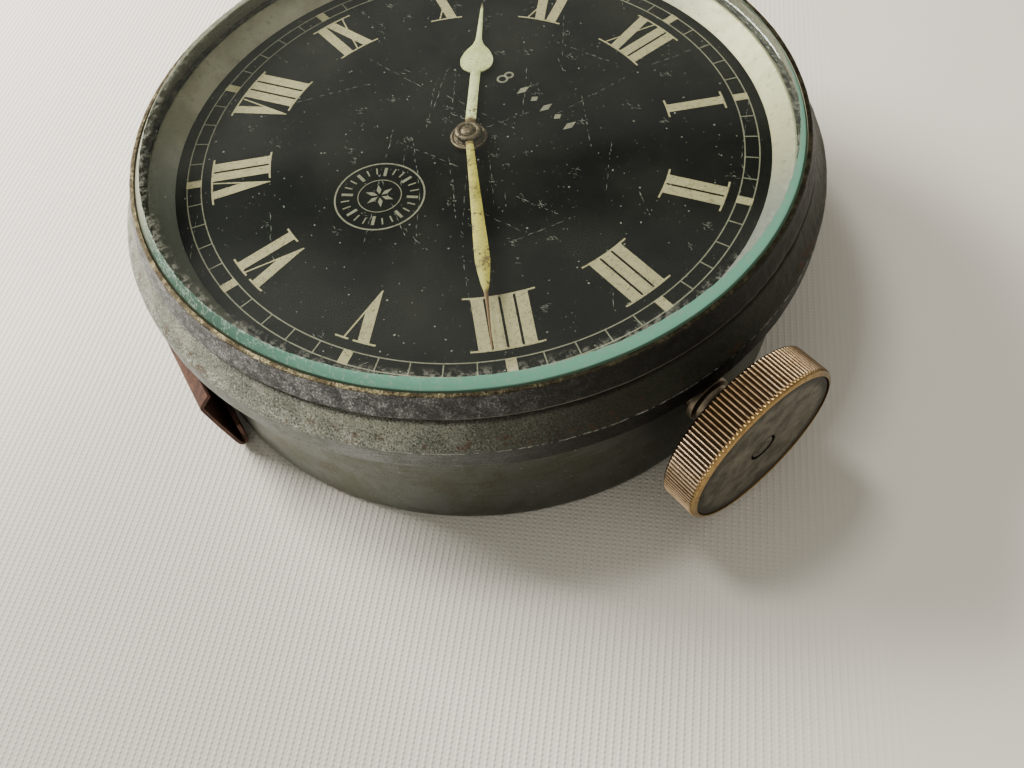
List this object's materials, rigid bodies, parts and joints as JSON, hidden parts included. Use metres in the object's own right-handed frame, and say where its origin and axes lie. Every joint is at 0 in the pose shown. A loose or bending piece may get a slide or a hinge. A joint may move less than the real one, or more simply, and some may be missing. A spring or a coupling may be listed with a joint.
{
  "type": "dashboard clock",
  "caption": "Round flanged eight-day dashboard clock with Roman dial, bevelled glass, side winding knob and spring clips, with its mechanical movement inside.",
  "frame": {"origin": "centre of the flat back face of the case", "axes": "+Z out through the dial, +X toward three o'clock and the winding knob, +Y toward twelve o'clock"},
  "size_m": [0.0844, 0.08, 0.0253],
  "materials": {
    "gunmetal_case": "satin gunmetal with olive and brown patina",
    "patinated_bezel": "pitted and speckled patina over plated brass",
    "black_rubber": "matte",
    "clear_glass": "polished, with a ground green bevel",
    "tarnished_silver": "stained silver",
    "black_dial_paint": "satin black with cream printing",
    "rusty_spring_steel": "rusty brown",
    "bright_steel": "polished",
    "dull_steel_disc": "dull, scratched",
    "knurled_brass": "worn gold over brass",
    "nickel": "bright nickel",
    "movement_brass": "gilt, fine brushed",
    "blued_steel": "blued",
    "luminous_hand": "aged luminous paint in bronze frames"
  },
  "bodies": {
    "root": {"case_body": "gunmetal_case", "back_cover": "gunmetal_case", "back_cover_screw_1": "bright_steel", "back_cover_screw_2": "bright_steel", "back_cover_screw_3": "bright_steel", "bezel": "patinated_bezel", "glass_gasket": "black_rubber", "glass": "clear_glass", "rehaut_ring": "tarnished_silver", "dial": "black_dial_paint", "dial_support_ring": "movement_brass", "fixing_clip_lower": "rusty_spring_steel", "fixing_clip_upper": "rusty_spring_steel", "clip_screw_lower": "rusty_spring_steel", "clip_screw_upper": "rusty_spring_steel", "stem_tube": "nickel", "main_plate": "movement_brass", "rear_plate": "movement_brass", "pillar_1": "movement_brass", "pillar_2": "movement_brass", "pillar_3": "movement_brass", "pillar_4": "movement_brass", "balance_cock": "movement_brass", "cock_screw": "bright_steel", "click_spring": "bright_steel"},
    "winding_pinion": {"winding_pinion": "bright_steel"},
    "knob": {"knob_rim": "knurled_brass", "knob_face": "dull_steel_disc", "knob_rivet": "dull_steel_disc", "winding_stem": "bright_steel"},
    "clutch_wheel": {"clutch_wheel": "bright_steel"},
    "crown_wheel": {"crown_wheel": "bright_steel", "transfer_wheel": "bright_steel"},
    "barrel_arbor": {"ratchet_wheel": "bright_steel", "barrel_arbor": "bright_steel"},
    "click": {"click": "bright_steel"},
    "barrel": {"barrel_drum": "movement_brass", "barrel_cover": "movement_brass", "mainspring": "blued_steel"},
    "intermediate": {"intermediate_arbor": "bright_steel", "intermediate_wheel": "movement_brass"},
    "centre": {"centre_arbor": "bright_steel", "centre_wheel": "movement_brass"},
    "third": {"third_arbor": "bright_steel", "third_wheel": "movement_brass"},
    "fourth": {"fourth_arbor": "bright_steel", "fourth_wheel": "movement_brass"},
    "escape": {"escape_arbor": "bright_steel", "escape_wheel": "bright_steel"},
    "pallet_fork": {"pallet_fork": "bright_steel"},
    "balance": {"balance_wheel": "movement_brass", "balance_staff": "bright_steel", "hairspring": "blued_steel"},
    "regulator": {"regulator": "bright_steel"},
    "minute_hand": {"cannon_pinion": "bright_steel", "minute_hand": "luminous_hand"},
    "minute_wheel": {"minute_wheel": "movement_brass"},
    "setting_wheel": {"setting_wheel": "movement_brass"},
    "hour_hand": {"hour_wheel": "movement_brass", "hour_hand": "luminous_hand"}
  },
  "joints": [
    {"name": "knob_turn", "type": "hinge", "parent": "root", "child": "winding_pinion", "pos_m": [0.03, 0, 0.0117], "axis": [1, 0, 0], "continuous": true},
    {"name": "knob_pull", "type": "slide", "parent": "winding_pinion", "child": "knob", "axis": [1, 0, 0], "range_m": [0, 0.002]},
    {"name": "clutch_slide", "type": "slide", "parent": "winding_pinion", "child": "clutch_wheel", "axis": [-1, 0, 0], "range_m": [0, 0.0012]},
    {"name": "crown_turn", "type": "hinge", "parent": "root", "child": "crown_wheel", "pos_m": [0.0209, 0, 0.01], "axis": [0, 0, 1], "continuous": true},
    {"name": "ratchet_turn", "type": "hinge", "parent": "root", "child": "barrel_arbor", "pos_m": [0.014, -0.0145, 0.01], "axis": [0, 0, 1], "continuous": true},
    {"name": "click_lift", "type": "hinge", "parent": "root", "child": "click", "pos_m": [-0.00117, -0.01317, 0.01], "axis": [0, 0, 1], "range_deg": [0, 10], "stiffness_Nm_per_rad": 0.0004},
    {"name": "minute_hand_turn", "type": "hinge", "parent": "root", "child": "minute_hand", "pos_m": [0, 0, 0.0215], "axis": [0, 0, -1], "continuous": true},
    {"name": "minute_wheel_turn", "type": "hinge", "parent": "root", "child": "minute_wheel", "pos_m": [0.007, 0, 0.01], "axis": [0, 0, -1], "continuous": true},
    {"name": "setting_wheel_turn", "type": "hinge", "parent": "root", "child": "setting_wheel", "pos_m": [0.01575, 0, 0.01], "axis": [0, 0, -1], "continuous": true},
    {"name": "hour_hand_turn", "type": "hinge", "parent": "root", "child": "hour_hand", "pos_m": [0, 0, 0.0209], "axis": [0, 0, -1], "continuous": true},
    {"name": "fourth_turn", "type": "hinge", "parent": "root", "child": "fourth", "pos_m": [-0.00972, 0.01099, 0.01], "axis": [0, 0, -1], "continuous": true},
    {"name": "escape_turn", "type": "hinge", "parent": "root", "child": "escape", "pos_m": [-0.01567, 0.00683, 0.01], "axis": [0, 0, -1], "continuous": true},
    {"name": "third_turn", "type": "hinge", "parent": "root", "child": "third", "pos_m": [-0.00169, 0.00957, 0.01], "axis": [0, 0, -1], "continuous": true},
    {"name": "centre_turn", "type": "hinge", "parent": "root", "child": "centre", "pos_m": [0, 0, 0.01], "axis": [0, 0, -1], "continuous": true},
    {"name": "intermediate_turn", "type": "hinge", "parent": "root", "child": "intermediate", "pos_m": [0.00188, -0.0099, 0.01], "axis": [0, 0, -1], "continuous": true},
    {"name": "barrel_turn", "type": "hinge", "parent": "root", "child": "barrel", "pos_m": [0.014, -0.0145, 0.01], "axis": [0, 0, -1], "continuous": true},
    {"name": "balance_swing", "type": "hinge", "parent": "root", "child": "balance", "pos_m": [-0.01804, -0.00441, 0.01], "axis": [0, 0, -1], "range_deg": [-135, 135], "stiffness_Nm_per_rad": 0.0000002},
    {"name": "pallet_swing", "type": "hinge", "parent": "root", "child": "pallet_fork", "pos_m": [-0.01865, 0.00257, 0.01], "axis": [0, 0, -1], "range_deg": [-6, 6]},
    {"name": "regulator_turn", "type": "hinge", "parent": "root", "child": "regulator", "pos_m": [-0.01804, -0.00441, 0.01], "axis": [0, 0, -1], "range_deg": [-20, 20]}
  ],
  "couplings": [
    {"joint": "clutch_slide", "follows": "knob_pull", "ratio": 0.6},
    {"joint": "crown_turn", "follows": "knob_turn", "ratio": 0.33333},
    {"joint": "ratchet_turn", "follows": "knob_turn", "ratio": -0.18519},
    {"joint": "minute_wheel_turn", "follows": "minute_hand_turn", "ratio": -0.33333},
    {"joint": "setting_wheel_turn", "follows": "minute_hand_turn", "ratio": 0.5},
    {"joint": "hour_hand_turn", "follows": "minute_hand_turn", "ratio": 0.083333},
    {"joint": "escape_turn", "follows": "fourth_turn", "ratio": -10},
    {"joint": "third_turn", "follows": "fourth_turn", "ratio": -0.13333},
    {"joint": "centre_turn", "follows": "fourth_turn", "ratio": 0.016667},
    {"joint": "intermediate_turn", "follows": "fourth_turn", "ratio": -0.0027778},
    {"joint": "barrel_turn", "follows": "fourth_turn", "ratio": 0.00034722},
    {"joint": "pallet_swing", "follows": "balance_swing", "ratio": 0.044444}
  ]
}
